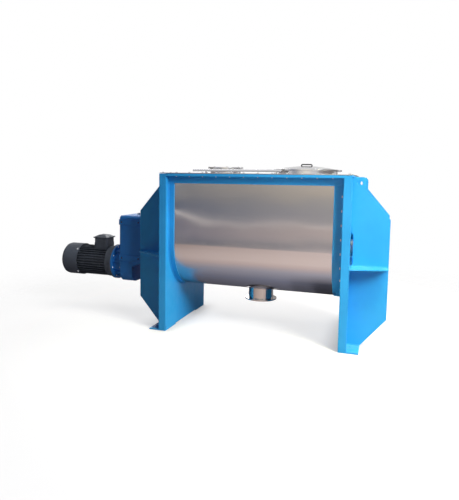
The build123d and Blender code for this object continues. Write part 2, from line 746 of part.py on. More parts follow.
for end, side in ENDS:
    with BuildPart() as seal_housing:
        turn(
            SHAFT_AXIS,
            (side * WEB_X, JOURNAL_R + FIT),
            (side * WEB_X, SEAL_FLANGE_R),
            (side * (WEB_X + SEAL_FLANGE), SEAL_FLANGE_R),
            (side * (WEB_X + SEAL_FLANGE), SEAL_R),
            (side * seal_x, SEAL_R),
            (side * seal_x, packing_r + RUN),
            (side * (WEB_X + SEAL_BOTTOM), packing_r + RUN),
            (side * (WEB_X + SEAL_BOTTOM), JOURNAL_R + FIT),
        )
    save(seal_housing, f"{end}_seal_housing")

    with BuildPart() as gland:
        turn(
            SHAFT_AXIS,
            (side * (WEB_X + SEAL_BOTTOM + PACKING_LENGTH), JOURNAL_R + FIT),
            (side * (WEB_X + SEAL_BOTTOM + PACKING_LENGTH), packing_r - RUN),
            (side * gland_x, packing_r - RUN),
            (side * gland_x, SEAL_R),
            (side * (gland_x + GLAND), SEAL_R),
            (side * (gland_x + GLAND), JOURNAL_R + FIT),
        )
    save(gland, f"{end}_gland")

    with BuildPart() as bearing_housing:
        with BuildSketch(facing(side * (BEARING_X - BEARING_WIDTH / 2), side)):
            with Locations((0, SHELF_Z)):
                Rectangle(BEARING_BASE, BEARING_BASE_T, align=BOTTOM)
                Rectangle(2 * BEARING_R, BEARING_HEIGHT, align=BOTTOM)
            with Locations((0, SHAFT_Z)):
                Circle(BEARING_R + BEARING_WALL)
                Circle(BEARING_R + RUN, mode=Mode.SUBTRACT)
        extrude(amount=BEARING_WIDTH)
    save(bearing_housing, f"{end}_bearing_housing")

    with BuildPart() as bearing_insert:
        turn(
            SHAFT_AXIS,
            (side * (BEARING_X - BEARING_WIDTH / 2), JOURNAL_R),
            (side * (BEARING_X - BEARING_WIDTH / 2), BEARING_R),
            (side * (BEARING_X + BEARING_WIDTH / 2), BEARING_R),
            (side * (BEARING_X + BEARING_WIDTH / 2), JOURNAL_R),
        )
    save(bearing_insert, f"{end}_bearing_insert")

with BuildPart() as packing_rings:
    for end, side in ENDS:
        turn(
            SHAFT_AXIS,
            (side * (WEB_X + SEAL_BOTTOM), JOURNAL_R + RUN),
            (side * (WEB_X + SEAL_BOTTOM), packing_r),
            (side * (WEB_X + SEAL_BOTTOM + PACKING_LENGTH), packing_r),
            (side * (WEB_X + SEAL_BOTTOM + PACKING_LENGTH), JOURNAL_R + RUN),
        )
save(packing_rings, "packing_rings")

with BuildPart() as gland_studs:
    for end, side in ENDS:
        with BuildSketch(facing(side * seal_x, side)):
            with Locations((-stud_circle, SHAFT_Z), (stud_circle, SHAFT_Z)):
                RegularPolygon(STUD_R, 6)
        extrude(amount=GLAND_TRAVEL)
        with BuildSketch(facing(side * (gland_x + GLAND), side)):
            with Locations((-stud_circle, SHAFT_Z), (stud_circle, SHAFT_Z)):
                RegularPolygon(1.8 * STUD_R, 6)
        extrude(amount=NUT)
save(gland_studs, "gland_studs")

bearing_places = [(s * BEARING_X, y) for s in (-1, 1) for y in (-BEARING_BOLT_Y, BEARING_BOLT_Y)]
bearing_seat = Plane.XY.offset(SHELF_Z + BEARING_BASE_T)
bearing_bolts = bolt_set(
    bearing_seat, bearing_places, BEARING_BASE_T + GUSSET, BEARING_BOLT_R, tip=BEARING_BOLT_R
)
save(bearing_bolts, "bearing_bolts")

# Gearbox on its mount plate
output_places = circle_places(OUTPUT_BOLT_CIRCLE, OUTPUT_BOLTS, (0, SHAFT_Z), 180 / OUTPUT_BOLTS)
flange_back = -(GUSSET_X + OUTPUT_FLANGE)

with BuildPart() as drive_mount_plate:
    with BuildSketch(facing(-GUSSET_X, 1)):
        with Locations((0, SHAFT_Z - MOUNT_PLATE_DROP)):
            Rectangle(2 * GUSSET_BACK, MOUNT_PLATE_DROP + MOUNT_PLATE_RISE, align=BOTTOM)
        with Locations((0, SHAFT_Z)):
            Circle(SLEEVE_R + FIT, mode=Mode.SUBTRACT)
    extrude(amount=MOUNT_PLATE)
save(drive_mount_plate, "drive_mount_plate")

with BuildPart() as gearbox_housing:
    gearbox_bottom = MOTOR_Z - GEARBOX_DROP
    gearbox_top = SHAFT_Z + GEARBOX_RISE
    with BuildSketch(Plane.XZ.offset(-GEARBOX_DEPTH / 2)):
        with BuildLine():
            Polyline(
                (GEARBOX_X, gearbox_top),
                (GEARBOX_X, gearbox_bottom + GEARBOX_STEP + GEARBOX_SLOPE),
                (ADAPTER_X + GEARBOX_FOOT, gearbox_bottom + GEARBOX_STEP),
                (ADAPTER_X + GEARBOX_FOOT, gearbox_bottom),
                (ADAPTER_X, gearbox_bottom),
                (ADAPTER_X, gearbox_top),
                close=True,
            )
        make_face()
    extrude(amount=GEARBOX_DEPTH)
    fillet(edges().filter_by(Axis.X).group_by(Axis.Z)[0], GEARBOX_ROUND)
    fillet(edges().filter_by(Axis.X).group_by(Axis.Z)[-1], GEARBOX_SHOULDER)
    chamfer(faces().sort_by(Axis.X)[0].edges(), GEARBOX_BEVEL)
    with BuildSketch(Plane.XZ.offset(GEARBOX_DEPTH / 2)):
        pads = [(GEARBOX_X - GEARBOX_LENGTH / 2, SHAFT_Z + z) for z in GEARBOX_PADS]
        with Locations(*pads):
            Rectangle(GEARBOX_LENGTH, GEARBOX_PAD_HEIGHT)
            with GridLocations(GEARBOX_LENGTH - GEARBOX_PAD_HEIGHT, 0, 2, 1):
                Circle(GEARBOX_PAD_HOLE_R, mode=Mode.SUBTRACT)
    extrude(amount=GEARBOX_PAD)
    mirror(about=Plane.XZ)
    with BuildSketch(facing(GEARBOX_X, 1)):
        with Locations((0, SHAFT_Z)):
            Circle(OUTPUT_NECK_R)
    extrude(amount=GEARBOX_GAP)
    with BuildSketch(facing(flange_back, 1)):
        with Locations((0, SHAFT_Z)):
            Circle(OUTPUT_FLANGE_R)
    extrude(amount=OUTPUT_FLANGE)
    with BuildSketch(facing(gearbox_back, 1)):
        with Locations((0, SHAFT_Z)):
            Circle(SLEEVE_R + RUN)
    extrude(amount=GEARBOX_LENGTH + GEARBOX_GAP, mode=Mode.SUBTRACT)
    with BuildSketch(facing(ADAPTER_X, 1)):
        with Locations((0, MOTOR_Z)):
            Circle(ROTOR_SHAFT_R + RUN)
    extrude(amount=INPUT_SEAT, mode=Mode.SUBTRACT)
save(gearbox_housing, "gearbox_housing")

output_bolts = bolt_set(
    facing(flange_back, -1), output_places, OUTPUT_FLANGE + MOUNT_PLATE, OUTPUT_BOLT_R, tip=OUTPUT_BOLT_R
)
save(output_bolts, "output_bolts")

with BuildPart() as output_sleeve:
    turn(
        SHAFT_AXIS,
        (gearbox_back + FIT, JOURNAL_R),
        (gearbox_back + FIT, SLEEVE_R),
        (-GUSSET_X, SLEEVE_R),
        (-GUSSET_X, JOURNAL_R),
    )
save(output_sleeve, "output_sleeve")

with BuildPart() as gearbox_breather:
    with BuildSketch(Plane.XY.offset(gearbox_top)):
        with Locations((GEARBOX_X - GEARBOX_LENGTH / 2, 0)):
            RegularPolygon(1.3 * BREATHER_R, 6)
    extrude(amount=BREATHER_R / 2)
    with BuildSketch(Plane.XY.offset(gearbox_top + BREATHER_R / 2)):
        with Locations((GEARBOX_X - GEARBOX_LENGTH / 2, 0)):
            Circle(BREATHER_R)
    extrude(amount=BREATHER_R)
save(gearbox_breather, "gearbox_breather")

# Motor
with BuildPart() as motor_adapter:
    rib_x = ADAPTER_X - ADAPTER_FLANGE
    rib_length = ADAPTER_LENGTH - 2 * ADAPTER_FLANGE
    for x in (ADAPTER_X, SHIELD_X + ADAPTER_FLANGE):
        with BuildSketch(facing(x, -1)):
            with Locations((0, MOTOR_Z)):
                Circle(ADAPTER_FLANGE_R if x != ADAPTER_X else ADAPTER_R + ADAPTER_FLANGE)
                Circle(ADAPTER_R - ADAPTER_WALL, mode=Mode.SUBTRACT)
        extrude(amount=ADAPTER_FLANGE)
    with BuildSketch(facing(rib_x, -1)):
        with Locations((0, MOTOR_Z)):
            Circle(ADAPTER_R)
            with PolarLocations((ADAPTER_R + ADAPTER_FLANGE) / 2, ADAPTER_RIBS, ADAPTER_RIB_TURN):
                Rectangle(ADAPTER_R + ADAPTER_FLANGE, ADAPTER_WALL)
            Circle(ADAPTER_R - ADAPTER_WALL, mode=Mode.SUBTRACT)
    extrude(amount=rib_length)
save(motor_adapter, "motor_adapter")

with BuildPart() as motor_end_shield:
    turn(
        MOTOR_AXIS,
        (SHIELD_X, ROTOR_SHAFT_R + RUN),
        (SHIELD_X, ADAPTER_FLANGE_R),
        (SHIELD_X - ADAPTER_FLANGE, ADAPTER_FLANGE_R),
        (SHIELD_X - ADAPTER_FLANGE, SHIELD_R),
        (MOTOR_X, SHIELD_R),
        (MOTOR_X, MOTOR_CORE_R - MOTOR_WALL),
        (SHIELD_X - ADAPTER_FLANGE, MOTOR_CORE_R - MOTOR_WALL),
        (SHIELD_X - ADAPTER_FLANGE, ROTOR_SHAFT_R + RUN),
    )
save(motor_end_shield, "motor_end_shield")

box_x = MOTOR_X - BOX_INSET - BOX_LENGTH / 2
box_z = MOTOR_Z + MOTOR_CORE_R + BOX_PAD

with BuildPart() as motor_frame:
    with BuildSketch(facing(MOTOR_X, -1)):
        with Locations((0, MOTOR_Z)):
            Circle(MOTOR_CORE_R)
            with PolarLocations((MOTOR_CORE_R + FIN_R) / 2, FIN_COUNT, start_angle=180 / FIN_COUNT):
                Rectangle(FIN_R - MOTOR_CORE_R + FIN, FIN)
    extrude(amount=MOTOR_LENGTH)
    with BuildSketch(Plane.XY.offset(MOTOR_Z)):
        with Locations((box_x, 0)):
            Rectangle(BOX_LENGTH, BOX_DEPTH)
    extrude(amount=MOTOR_CORE_R + BOX_PAD)
    with BuildSketch(Plane.XY.offset(box_z)):
        with Locations((box_x, 0)):
            Rectangle(BOX_LENGTH + 4 * BOX_WALL, BOX_DEPTH + 4 * BOX_WALL)
    extrude(amount=FIN_R, mode=Mode.SUBTRACT)
    with BuildSketch(facing(COWL_X, 1)):
        with Locations((0, MOTOR_Z)):
            with PolarLocations(COWL_R - COWL - 2 * FIN, 4, start_angle=45):
                Rectangle(4 * FIN - 2 * FIT, 4 * FIN)
    extrude(amount=COWL_LAP)
    with BuildSketch(facing(MOTOR_X, -1)):
        with Locations((0, MOTOR_Z)):
            Circle(MOTOR_CORE_R - MOTOR_WALL)
    extrude(amount=MOTOR_LENGTH - REAR_WALL, mode=Mode.SUBTRACT)
    with BuildSketch(facing(MOTOR_X, -1)):
        with Locations((0, MOTOR_Z)):
            Circle(ROTOR_SHAFT_R + RUN)
    extrude(amount=MOTOR_LENGTH, mode=Mode.SUBTRACT)
save(motor_frame, "motor_frame")

rotor_x = MOTOR_X - (MOTOR_LENGTH - ROTOR_LENGTH) / 2
with BuildPart() as stator:
    turn(
        MOTOR_AXIS,
        (rotor_x, ROTOR_R + AIR_GAP),
        (rotor_x, MOTOR_CORE_R - MOTOR_WALL),
        (rotor_x - ROTOR_LENGTH, MOTOR_CORE_R - MOTOR_WALL),
        (rotor_x - ROTOR_LENGTH, ROTOR_R + AIR_GAP),
    )
save(stator, "stator")

fan_x = COWL_X - 2 * COWL_LAP
coupling_x = ADAPTER_X - ADAPTER_FLANGE
with BuildPart() as motor_rotor:
    turn(
        MOTOR_AXIS,
        (SHIELD_X + ADAPTER_FLANGE, 0),
        (SHIELD_X + ADAPTER_FLANGE, ROTOR_SHAFT_R),
        (rotor_x, ROTOR_SHAFT_R),
        (rotor_x, ROTOR_R),
        (rotor_x - ROTOR_LENGTH, ROTOR_R),
        (rotor_x - ROTOR_LENGTH, ROTOR_SHAFT_R),
        (fan_x - FAN_LENGTH, ROTOR_SHAFT_R),
        (fan_x - FAN_LENGTH, 0),
    )
save(motor_rotor, "motor_rotor")

with BuildPart() as shaft_coupling:
    turn(
        MOTOR_AXIS,
        (ADAPTER_X + INPUT_SEAT - FIT, 0),
        (ADAPTER_X + INPUT_SEAT - FIT, ROTOR_SHAFT_R),
        (coupling_x, ROTOR_SHAFT_R),
        (coupling_x, COUPLING_R),
        (SHIELD_X + FIT, COUPLING_R),
        (SHIELD_X + FIT, ROTOR_SHAFT_R),
        (SHIELD_X + ADAPTER_FLANGE, ROTOR_SHAFT_R),
        (SHIELD_X + ADAPTER_FLANGE, 0),
    )
save(shaft_coupling, "shaft_coupling")

with BuildPart() as cooling_fan:
    with BuildSketch(facing(fan_x, -1)):
        with Locations((0, MOTOR_Z)):
            Circle(2 * ROTOR_SHAFT_R)
            with PolarLocations((FAN_R + ROTOR_SHAFT_R) / 2, FAN_BLADES):
                Rectangle(FAN_R - ROTOR_SHAFT_R, FIN)
            Circle(ROTOR_SHAFT_R, mode=Mode.SUBTRACT)
    extrude(amount=FAN_LENGTH)
save(cooling_fan, "cooling_fan")

with BuildPart() as fan_cowl:
    bend = [radians(30 * i) for i in range(4)]
    outside = [
        (COWL_END + COWL_ROUND * (1 - sin(a)), COWL_R - COWL_ROUND * (1 - cos(a))) for a in bend
    ]
    turn(
        MOTOR_AXIS,
        (COWL_X + COWL_LAP, COWL_R - COWL),
        (COWL_X + COWL_LAP, COWL_R),
        *outside,
        (COWL_END, 0),
        (COWL_END + COWL, 0),
        (COWL_END + COWL, COWL_R - COWL_ROUND),
        (COWL_END + COWL_ROUND, COWL_R - COWL),
    )
    with BuildSketch(facing(COWL_END, 1)):
        with Locations((0, MOTOR_Z)):
            with PolarLocations((COWL_R - COWL_ROUND) / 2 + FIN, COWL_SLOTS):
                Rectangle((COWL_R - COWL_ROUND) / 2 + FIN, 2 * FIN)
    extrude(amount=COWL, mode=Mode.SUBTRACT)
save(fan_cowl, "fan_cowl")

with BuildPart() as terminal_box:
    with BuildSketch(Plane.XY.offset(box_z)):
        with Locations((box_x, 0)):
            RectangleRounded(BOX_LENGTH, BOX_DEPTH, 2 * BOX_WALL)
    extrude(amount=BOX_HEIGHT)
    with BuildSketch(Plane.XY.offset(box_z + BOX_WALL)):
        with Locations((box_x, 0)):
            RectangleRounded(BOX_LENGTH - 2 * BOX_WALL, BOX_DEPTH - 2 * BOX_WALL, BOX_WALL)
    extrude(amount=BOX_HEIGHT, mode=Mode.SUBTRACT)
    with BuildSketch(Plane.XZ.offset(-BOX_DEPTH / 2)):
        with Locations((box_x, box_z + BOX_HEIGHT / 2)):
            Circle(CABLE_GLAND_R - BOX_WALL)
    extrude(amount=2 * BOX_WALL, mode=Mode.SUBTRACT)
save(terminal_box, "terminal_box")

with BuildPart() as terminal_lid:
    with BuildSketch(Plane.XY.offset(box_z + BOX_HEIGHT)):
        with Locations((box_x, 0)):
            RectangleRounded(BOX_LENGTH + 2 * BOX_LID_LAP, BOX_DEPTH + 2 * BOX_LID_LAP, 2 * BOX_WALL)
    extrude(amount=BOX_LID)
    with BuildSketch(Plane.XY.offset(box_z + BOX_HEIGHT + BOX_LID)):
        with Locations((box_x, 0)):
            Rectangle(BOX_LENGTH + BOX_LID_LAP, BOX_DEPTH + BOX_LID_LAP)
    extrude(amount=BOX_LID_RISE, taper=BOX_LID_SLOPE)
save(terminal_lid, "terminal_lid")

with BuildPart() as cable_gland:
    gland_place = (box_x, box_z + BOX_HEIGHT / 2)
    with BuildSketch(Plane.XZ.offset(-BOX_DEPTH / 2)):
        with Locations(gland_place):
            RegularPolygon(CABLE_GLAND_R, 6)
    extrude(amount=-CABLE_GLAND / 2)
    with BuildSketch(Plane.XZ.offset(-BOX_DEPTH / 2 - CABLE_GLAND / 2)):
        with Locations(gland_place):
            Circle(CABLE_GLAND_R - BOX_WALL / 2)
    extrude(amount=-CABLE_GLAND / 2)
    with BuildSketch(Plane.XZ.offset(-BOX_DEPTH / 2)):
        with Locations(gland_place):
            Circle(CABLE_GLAND_R - BOX_WALL - FIT)
    extrude(amount=BOX_WALL)
save(cable_gland, "cable_gland")
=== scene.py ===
from math import cos, pi, radians, sin, sqrt

import bmesh
import bpy
from mathutils import Euler, Matrix, Vector


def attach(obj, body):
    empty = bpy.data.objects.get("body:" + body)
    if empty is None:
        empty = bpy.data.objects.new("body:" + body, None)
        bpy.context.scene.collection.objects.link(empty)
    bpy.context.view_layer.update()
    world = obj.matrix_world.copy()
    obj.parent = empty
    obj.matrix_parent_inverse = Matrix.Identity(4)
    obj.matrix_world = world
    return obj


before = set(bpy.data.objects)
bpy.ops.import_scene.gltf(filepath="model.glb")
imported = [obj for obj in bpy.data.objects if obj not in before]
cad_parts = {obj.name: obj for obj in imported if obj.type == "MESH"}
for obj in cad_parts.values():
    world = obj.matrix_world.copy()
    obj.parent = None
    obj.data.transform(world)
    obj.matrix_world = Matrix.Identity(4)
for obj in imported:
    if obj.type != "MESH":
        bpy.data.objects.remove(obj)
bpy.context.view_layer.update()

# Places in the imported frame, in metres
SHAFT_Z = 0.890
SHELL_R = 0.480              # outside of the trough
PANEL_X = 0.8575             # inner face of the end panels
WEB_X = 0.8675               # outer face of the end panels
EDGE_X = 0.9325              # outer edge of their folds
GUSSET_X = 1.2655            # free edge of the gussets
GUSSET_Y = 0.325             # outer face of the gussets
GUSSET_BACK = 0.313          # inner face of the gussets
NOTCH_LOW = 0.768            # opening at the gussets' root
NOTCH_HIGH = 1.093
RIB_Z = 0.768                # top of the ribs outside the gussets
PLATE = 0.012
FOOT_END = 1.0375
FRAME_TOP = 1.590
COVER_Z = 1.609              # top of the cover sheet
RING_R = 0.4903              # outside of the left ring round the trough
RING_TOP = 1.505
COLLAR_X = 0.445             # manhole collar
COLLAR_R = 0.306
PORT_X = -0.420              # feed port neck
PORT_R = 0.1625
PORT_NECK = 0.037
NECK_R = 0.130               # discharge neck
SEAL_FACE = 0.8815           # outer face of the seals' flanges
SEAL_CIRCLE = 0.100          # radius of their screws' circle
BEARING_X = 1.0995
BEARING_TOP = 0.988
MOTOR_Z = 0.575
ADAPTER_FACES = ((-1.6135, -1, 0.160), (-1.6995, 1, 0.176))  # X, outward, bolt circle of each flange
ADAPTER_RIB_TURN = radians(7.5)  # of the ribs between the flanges
PAD_HOLE_X = (-1.5635, -1.3535)  # tapped holes in the gearbox pads
PAD_HOLE_Z = (1.058, 0.655)
PAD_FACE = 0.210             # outer face of the pads
PAD_HOLE_R = 0.009
PAD_HOLE_DEPTH = 0.010
COWL_SCREW_X = -2.192
COWL_R = 0.185
BOX_X = -1.9135              # terminal box
BOX_TOP = 0.857              # top of its lid's rim
BOX_HALF = (0.0865, 0.0925)  # screws from the middle of the lid

# Camera, fitted to the photograph
IMAGE = (459, 500)
CAMERA_PLACE = (1.1827, -4.9252, 1.5461)
FOCAL_PX = 480.89
CENTRE_PX = (220.81, 221.60)
PITCH = 0.0869
ROLL = 0.0155
YAW = 0.3227
SENSOR = 36.0
CLIP_END = 200.0

# Materials

MIDDLE = (0.3, 0.7)          # range in which most of a noise lies
EDGE_TURN = (0.80, 0.985)    # cosine between flat and rounded normal, from a sharp edge to an open face
DUST_SLOPE = (0.6, 1.0)      # upward part of the normal, from no dust to the most
BEVEL_SAMPLES = 4
QUARTER_TURN = 0.25          # of the anisotropy's direction
BULGE_PLACE = (-0.87, -0.48, 1.28)  # sheet pulled by the weld of the left ring
BULGE_R = 0.32
BULGE_HEIGHT = 0.0040


def colour_socket(sockets, name):
    """The socket of that name that holds a colour."""
    return [socket for socket in sockets if socket.name == name and socket.type == "RGBA"][0]


class Nodes:
    """Short names for making and linking the nodes of one tree."""

    def __init__(self, tree):
        self.tree = tree

    def feed(self, socket, value):
        """Link a socket to the value, or set it when the value is constant."""
        if isinstance(value, bpy.types.NodeSocket):
            self.tree.links.new(value, socket)
        else:
            socket.default_value = value

    def node(self, kind, **inputs):
        """New node with its inputs by name; an underscore stands for a space."""
        made = self.tree.nodes.new(kind)
        for socket, value in inputs.items():
            self.feed(made.inputs[socket.replace("_", " ")], value)
        return made

    def in_order(self, kind, *values, operation=None):
        """New node with its inputs in their order."""
        made = self.tree.nodes.new(kind)
        if operation:
            made.operation = operation
        for socket, value in zip(made.inputs, values):
            self.feed(socket, value)
        return made

    def times(self, first, second):
        return self.in_order("ShaderNodeMath", first, second, operation="MULTIPLY").outputs[0]

    def larger(self, first, second):
        return self.in_order("ShaderNodeMath", first, second, operation="MAXIMUM").outputs[0]

    def mix(self, share, first, second):
        """Second shader by its share, over the first."""
        return self.in_order("ShaderNodeMixShader", share, first, second).outputs[0]

    def seen_by_eye(self):
        """1 for camera, glossy and transmission rays, so that metal shows the same background."""
        path = self.node("ShaderNodeLightPath")
        total = path.outputs["Is Camera Ray"]
        for kind in ("Is Glossy Ray", "Is Transmission Ray"):
            total = self.larger(total, path.outputs[kind])
        return total


class Finish(Nodes):
    """A procedural material on a Principled shader, with short names for the textures it uses."""

    def __init__(self, name, **constants):
        self.material = bpy.data.materials.new(name)
        self.material.use_nodes = True
        super().__init__(self.material.node_tree)
        self.shader = self.tree.nodes["Principled BSDF"]
        for socket, value in constants.items():
            self.give(socket.replace("_", " "), value)
        self.coordinates = self.node("ShaderNodeTexCoord")
        self.place = self.coordinates.outputs["Object"]

    def give(self, socket, value):
        """Value or constant for one input of the shader."""
        self.feed(self.shader.inputs[socket], value)

    def show(self, shader):
        """Another shader than the Principled one as the material's surface."""
        self.feed(self.tree.nodes["Material Output"].inputs["Surface"], shader)

    def noise(self, scale, detail=3.0, rough=0.55, stretch=(1, 1, 1)):
        """Noise that is finer along an axis of larger stretch."""
        spread = self.node("ShaderNodeMapping", Vector=self.place, Scale=stretch)
        made = self.node(
            "ShaderNodeTexNoise",
            Vector=spread.outputs["Vector"], Scale=scale, Detail=detail, Roughness=rough,
        )
        return made.outputs["Fac"]

    def wave(self, scale, axis):
        """Bands across an axis."""
        made = self.node("ShaderNodeTexWave", Vector=self.place, Scale=scale)
        made.bands_direction = axis
        return made.outputs["Fac"]

    def bulge(self, centre, radius):
        """1 at the centre of a shallow bulge, 0 beyond its radius."""
        near = self.node(
            "ShaderNodeMapping",
            Vector=self.place, Location=[-number / radius for number in centre], Scale=(1 / radius,) * 3,
        )
        made = self.node("ShaderNodeTexGradient", Vector=near.outputs["Vector"])
        made.gradient_type = "QUADRATIC_SPHERE"
        return made.outputs["Fac"]

    def span(self, value, low, high, within=MIDDLE):
        """From low to high while the value goes through the range within."""
        made = self.node(
            "ShaderNodeMapRange",
            Value=value, From_Min=within[0], From_Max=within[1], To_Min=low, To_Max=high,
        )
        return made.outputs["Result"]

    def share(self, value, most=1.0, within=MIDDLE):
        """From none to the most while the value goes through the range within."""
        return self.span(value, 0.0, most, within)

    def blend(self, share, first, second):
        """Second colour by its share, over the first."""
        made = self.tree.nodes.new("ShaderNodeMix")
        made.data_type = "RGBA"
        self.feed(made.inputs["Factor"], share)
        for name, colour in (("A", first), ("B", second)):
            constant = not isinstance(colour, bpy.types.NodeSocket)
            self.feed(colour_socket(made.inputs, name), (*colour, 1.0) if constant else colour)
        return colour_socket(made.outputs, "Result")

    def ramp(self, value, stops):
        """Colour by the value, from stops of (value, colour)."""
        made = self.node("ShaderNodeValToRGB", Fac=value)
        while len(made.color_ramp.elements) < len(stops):
            made.color_ramp.elements.new(1.0)
        for element, (position, colour) in zip(made.color_ramp.elements, stops):
            element.position = position
            element.color = (*colour, 1)
        return made.outputs["Color"]

    def rounded(self, radius):
        """Normal of edges that are rounded by the radius."""
        made = self.node("ShaderNodeBevel", Radius=radius)
        made.samples = BEVEL_SAMPLES
        return made.outputs["Normal"]

    def edges(self, radius):
        """1 along sharp outer and inner edges, 0 on open faces."""
        flat = self.node("ShaderNodeNewGeometry").outputs["Normal"]
        turn = self.in_order("ShaderNodeVectorMath", self.rounded(radius), flat, operation="DOT_PRODUCT")
        return self.span(turn.outputs["Value"], 1.0, 0.0, EDGE_TURN)

    def upward(self):
        """1 on faces that look up, where dust settles."""
        normal = self.node("ShaderNodeNewGeometry").outputs["Normal"]
        parts = self.node("ShaderNodeSeparateXYZ", Vector=normal)
        return self.share(parts.outputs["Z"], within=DUST_SLOPE)

    def brushed(self, amount):
        """Reflections drawn out along X."""
        made = self.tree.nodes.new("ShaderNodeTangent")
        made.direction_type = "RADIAL"
        made.axis = "X"
        self.give("Tangent", made.outputs["Tangent"])
        self.give("Anisotropic", amount)
        self.give("Anisotropic Rotation", QUARTER_TURN)

    def bump(self, height, strength, depth, under=None):
        """Surface relief, over the normal of another relief if one is given."""
        made = self.node("ShaderNodeBump", Height=height, Strength=strength, Distance=depth)
        if under:
            self.feed(made.inputs["Normal"], under)
        self.give("Normal", made.outputs["Normal"])
        return made.outputs["Normal"]


def enamel(name, deep, light, worn, gloss, grain, grain_depth):
    """Sprayed enamel: slow colour drift, orange peel, rubbed edges and a little dust."""
    dust_colour = (0.50, 0.53, 0.56)
    gloss_change = 0.16
    look = Finish(name, Coat_Weight=0.06, Coat_Roughness=0.16, Specular_IOR_Level=0.22)
    paint = look.blend(look.share(look.noise(scale=2.3, detail=4.0)), deep, light)
    patches = look.share(look.noise(scale=38.0, detail=5.0), most=0.75, within=(0.45, 0.66))
    paint = look.blend(look.times(look.edges(radius=0.004), patches), paint, worn)
    dust = look.share(look.noise(scale=9.0, detail=6.0, rough=0.7), most=0.20, within=(0.4, 0.75))
    look.give("Base Color", look.blend(look.times(look.upward(), dust), paint, dust_colour))
    look.give("Roughness", look.span(look.noise(scale=14.0, detail=5.0), gloss, gloss + gloss_change))
    peel = look.noise(grain, detail=2.0)
    look.bump(peel, strength=0.12, depth=grain_depth, under=look.rounded(radius=0.007))
    return look.material


def steel(name, dull, bright, rough, brush, tint=None, waves=0.0):
    """Bare steel with brush marks and smears and, on sheet, slow waves and a bulge."""
    look = Finish(name, Metallic=1.0)
    lines = look.noise(scale=60.0, detail=4.0, rough=0.6, stretch=brush)
    smear = look.noise(scale=3.1, detail=5.0, rough=0.6, stretch=(0.6, 1.0, 1.3))
    shade = look.blend(look.share(lines, within=(0.32, 0.68)), dull, bright)
    if tint:
        shade = look.blend(look.share(smear, most=0.55, within=(0.45, 0.72)), shade, tint)
    look.give("Base Color", shade)
    streaks = look.span(lines, *rough)
    uneven = look.span(smear, low=0.85, high=1.25, within=(0.35, 0.7))
    look.give("Roughness", look.times(streaks, uneven))
    normal = look.rounded(radius=0.002)
    if waves:
        look.brushed(amount=1.0)
        slow = look.noise(scale=1.5, detail=1.0, rough=0.4, stretch=(1.0, 0.8, 1.4))
        normal = look.bump(slow, strength=1.0, depth=waves, under=normal)
        pulled = look.bulge(BULGE_PLACE, BULGE_R)
        normal = look.bump(pulled, strength=1.0, depth=BULGE_HEIGHT, under=normal)
    look.bump(lines, strength=0.02, depth=0.0003, under=normal)
    return look.material


def casting(name, dark, light, rough, grain_depth, worn):
    """Painted cast iron or sheet with a fine sand texture and lighter, rubbed edges."""
    dust_colour = (0.30, 0.29, 0.27)
    look = Finish(name, Specular_IOR_Level=0.25)
    paint = look.blend(look.share(look.noise(scale=7.0, detail=6.0)), dark, light)
    patches = look.share(look.noise(scale=45.0, detail=4.0), most=0.6, within=(0.45, 0.65))
    paint = look.blend(look.times(look.edges(radius=0.003), patches), paint, worn)
    dust = look.share(look.noise(scale=11.0, detail=6.0, rough=0.7), most=0.14, within=(0.4, 0.75))
    look.give("Base Color", look.blend(look.times(look.upward(), dust), paint, dust_colour))
    look.give("Roughness", look.span(look.noise(scale=21.0, detail=5.0), *rough))
    sand = look.noise(scale=420.0, detail=3.0)
    look.bump(sand, strength=0.25, depth=grain_depth, under=look.rounded(radius=0.003))
    return look.material


def moulded(name, dark, light, rough, grain, grain_depth):
    """Rubber or moulded plastic with a fine grain."""
    look = Finish(name, Specular_IOR_Level=0.35)
    look.give("Base Color", look.blend(look.share(look.noise(scale=16.0, detail=5.0)), dark, light))
    look.give("Roughness", look.span(look.noise(scale=30.0, detail=4.0), *rough))
    look.bump(look.noise(grain, detail=2.0), strength=0.2, depth=grain_depth)
    return look.material


def laminations(name, dark, light, rough):
    """Stacked stator sheets: fine bands across the motor axis."""
    look = Finish(name, Metallic=0.6)
    bands = look.wave(scale=160.0, axis="X")
    look.give("Base Color", look.blend(bands, dark, light))
    look.give("Roughness", look.span(look.noise(scale=40.0), *rough))
    look.bump(bands, strength=0.3, depth=0.0004)
    return look.material


